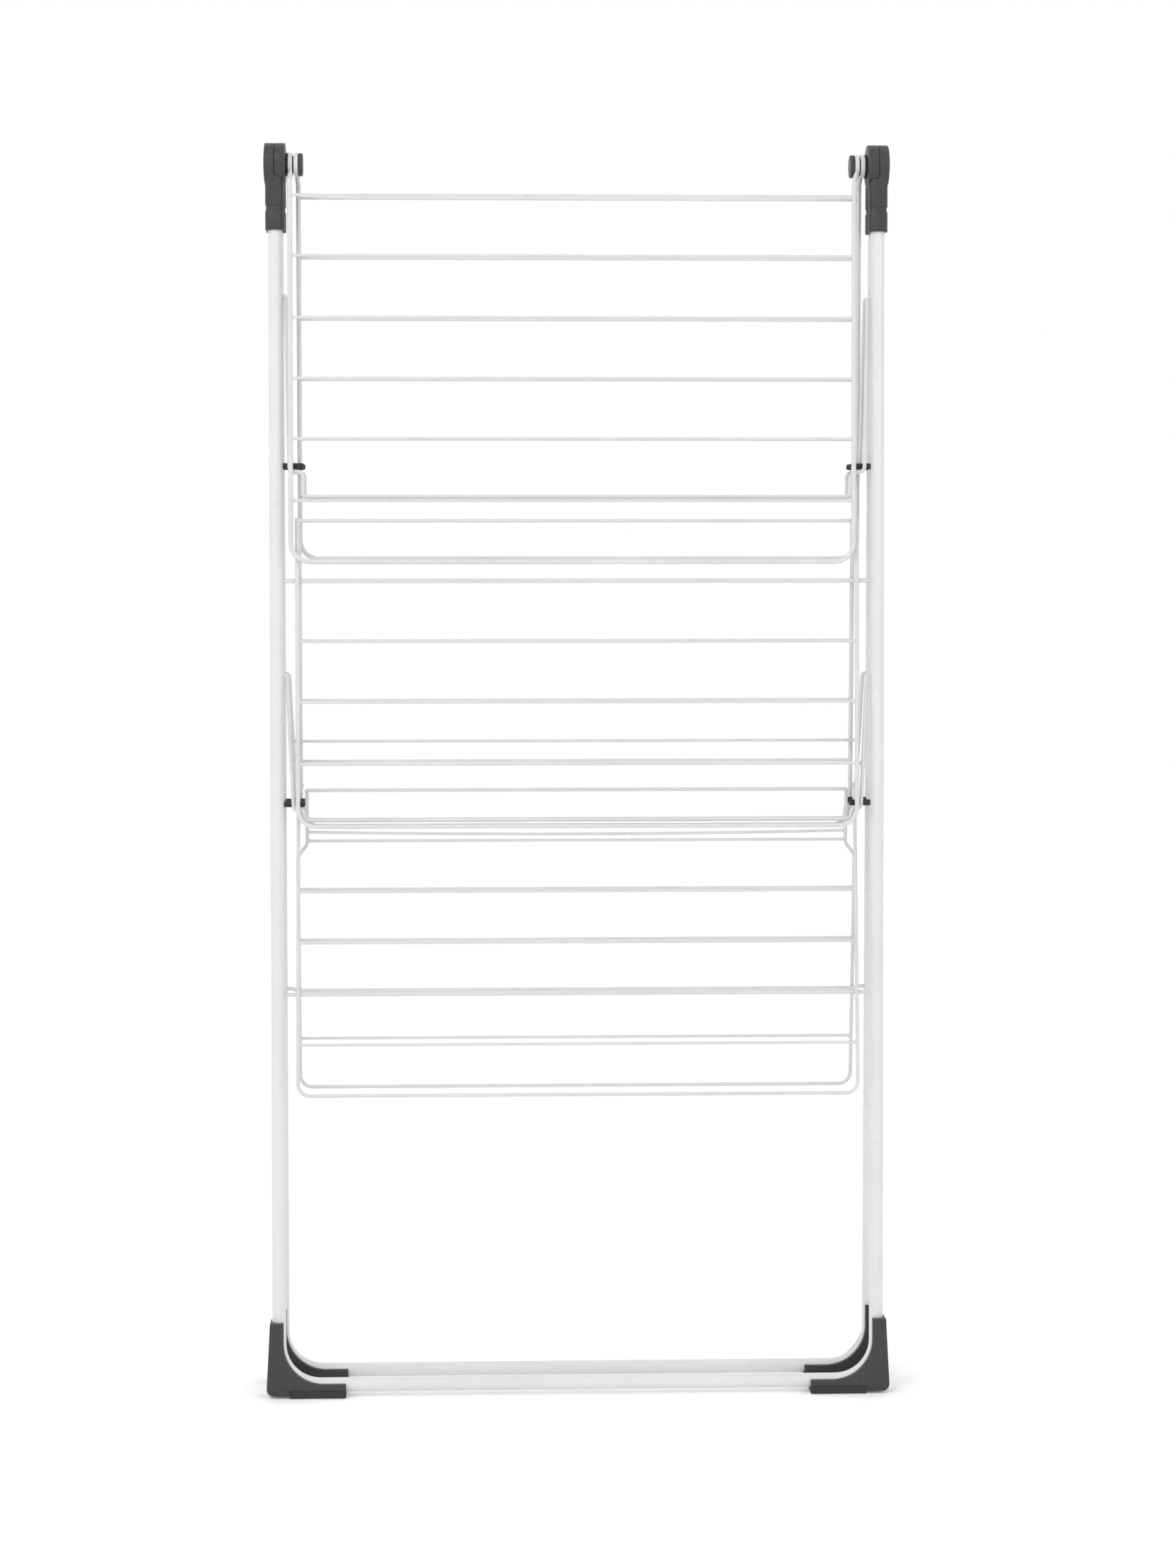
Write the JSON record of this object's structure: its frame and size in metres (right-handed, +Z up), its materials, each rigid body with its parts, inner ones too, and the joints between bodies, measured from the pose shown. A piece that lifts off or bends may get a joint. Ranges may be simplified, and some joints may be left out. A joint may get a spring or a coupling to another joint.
{
  "type": "folding clothes drying rack",
  "caption": "Tower drying rack of coated wire: two hinged legs, tiered fold-out wings and a folding bottom shelf.",
  "frame": {"origin": "bottom centre of the folded rack, on the surface that its feet stand on", "axes": "+X along the lines, to the right seen from the front; -Y is the front; +Z is up"},
  "size_m": [0.715, 0.0912, 1.4323],
  "materials": {
    "white_tube": "semi-gloss white epoxy coat on steel tube",
    "white_wire": "semi-gloss white epoxy coat on steel wire",
    "grey_plastic": "fine-grained dark grey moulded plastic",
    "pad_rubber": "dark grey soft rubber, matte",
    "black_plastic": "near-black moulded plastic",
    "zinc_steel": "bright zinc-plated steel pin"
  },
  "bodies": {
    "hinge_axle": {"hinge_end_cap_left": "grey_plastic", "hinge_end_cap_right": "grey_plastic", "hinge_pin_left": "zinc_steel", "hinge_pin_right": "zinc_steel", "hinge_spacers": "black_plastic", "hinge_washers": "black_plastic"},
    "front_leg": {"front_foot_left": "grey_plastic", "front_foot_right": "grey_plastic", "front_hinge_cap_left": "grey_plastic", "front_hinge_cap_right": "grey_plastic", "front_leg_tube": "white_tube", "front_lower_pegs": "black_plastic", "front_pad_left": "pad_rubber", "front_pad_right": "pad_rubber", "front_upper_pegs": "black_plastic"},
    "front_top_wing": {"front_top_wing_frame": "white_wire", "front_top_wing_lines": "white_wire"},
    "front_top_strut": {"front_top_strut": "white_wire"},
    "front_middle_wing": {"front_middle_wing_axle": "white_wire", "front_middle_wing_frame": "white_wire", "front_middle_wing_lines": "white_wire"},
    "front_middle_strut": {"front_middle_strut": "white_wire", "front_middle_strut_stop": "white_wire"},
    "front_shelf": {"front_shelf_axle": "white_wire", "front_shelf_frame": "white_wire", "front_shelf_lines": "white_wire"},
    "rear_leg": {"rear_foot_left": "grey_plastic", "rear_foot_right": "grey_plastic", "rear_hinge_cap_left": "grey_plastic", "rear_hinge_cap_right": "grey_plastic", "rear_leg_tube": "white_tube", "rear_lower_pegs": "black_plastic", "rear_pad_left": "pad_rubber", "rear_pad_right": "pad_rubber", "rear_upper_pegs": "black_plastic"},
    "rear_top_wing": {"rear_top_wing_frame": "white_wire", "rear_top_wing_lines": "white_wire"},
    "rear_top_strut": {"rear_top_strut": "white_wire"},
    "rear_middle_wing": {"rear_middle_wing_axle": "white_wire", "rear_middle_wing_frame": "white_wire", "rear_middle_wing_lines": "white_wire"},
    "rear_middle_strut": {"rear_middle_strut": "white_wire", "rear_middle_strut_stop": "white_wire"},
    "rear_shelf": {"rear_shelf_axle": "white_wire", "rear_shelf_frame": "white_wire", "rear_shelf_lines": "white_wire"}
  },
  "joints": [
    {"name": "front_leg_fold", "type": "hinge", "parent": "hinge_axle", "child": "front_leg", "pos_m": [0, 0, 1.408], "axis": [-1, 0, 0], "range_deg": [0, 12.6]},
    {"name": "front_top_wing_fold", "type": "hinge", "parent": "front_leg", "child": "front_top_wing", "pos_m": [0, 0, 1.408], "axis": [-1, 0, 0], "range_deg": [0, 76.46]},
    {"name": "front_top_strut_swing", "type": "hinge", "parent": "front_leg", "child": "front_top_strut", "pos_m": [0, -0.01146, 1.25817], "axis": [-1, 0, 0], "range_deg": [0, 118.62]},
    {"name": "front_middle_wing_fold", "type": "hinge", "parent": "front_leg", "child": "front_middle_wing", "pos_m": [0, -0.01677, 0.93451], "axis": [-1, 0, 0], "range_deg": [0, 75.22]},
    {"name": "front_middle_strut_swing", "type": "hinge", "parent": "front_leg", "child": "front_middle_strut", "pos_m": [0, -0.01853, 0.82723], "axis": [-1, 0, 0], "range_deg": [0, 112.32]},
    {"name": "front_shelf_fold", "type": "hinge", "parent": "front_leg", "child": "front_shelf", "pos_m": [0, -0.02453, 0.46158], "axis": [-1, 0, 0], "range_deg": [0, 70.77]},
    {"name": "rear_leg_fold", "type": "hinge", "parent": "hinge_axle", "child": "rear_leg", "pos_m": [0, 0, 1.408], "axis": [1, 0, 0], "range_deg": [0, 12.62]},
    {"name": "rear_top_wing_fold", "type": "hinge", "parent": "rear_leg", "child": "rear_top_wing", "pos_m": [0, 0, 1.408], "axis": [1, 0, 0], "range_deg": [0, 76.46]},
    {"name": "rear_top_strut_swing", "type": "hinge", "parent": "rear_leg", "child": "rear_top_strut", "pos_m": [0, 0.01146, 1.25817], "axis": [1, 0, 0], "range_deg": [0, 118.62]},
    {"name": "rear_middle_wing_fold", "type": "hinge", "parent": "rear_leg", "child": "rear_middle_wing", "pos_m": [0, 0.01677, 0.93451], "axis": [1, 0, 0], "range_deg": [0, 75.22]},
    {"name": "rear_middle_strut_swing", "type": "hinge", "parent": "rear_leg", "child": "rear_middle_strut", "pos_m": [0, 0.01853, 0.82723], "axis": [1, 0, 0], "range_deg": [0, 112.32]},
    {"name": "rear_shelf_fold", "type": "hinge", "parent": "rear_leg", "child": "rear_shelf", "pos_m": [0, 0.02453, 0.46158], "axis": [1, 0, 0], "range_deg": [0, 70.77]}
  ],
  "couplings": [
    {"joint": "front_top_strut_swing", "follows": "front_top_wing_fold", "ratio": 1.5511},
    {"joint": "front_middle_wing_fold", "follows": "front_leg_fold", "ratio": 5.9683},
    {"joint": "front_middle_strut_swing", "follows": "front_leg_fold", "ratio": 8.9127},
    {"joint": "front_shelf_fold", "follows": "front_leg_fold", "ratio": 5.6151},
    {"joint": "rear_top_strut_swing", "follows": "rear_top_wing_fold", "ratio": 1.5511},
    {"joint": "rear_middle_wing_fold", "follows": "front_leg_fold", "ratio": 5.9683},
    {"joint": "rear_middle_strut_swing", "follows": "front_leg_fold", "ratio": 8.9127},
    {"joint": "rear_shelf_fold", "follows": "front_leg_fold", "ratio": 5.6151},
    {"joint": "rear_leg_fold", "follows": "front_leg_fold", "ratio": 1}
  ]
}
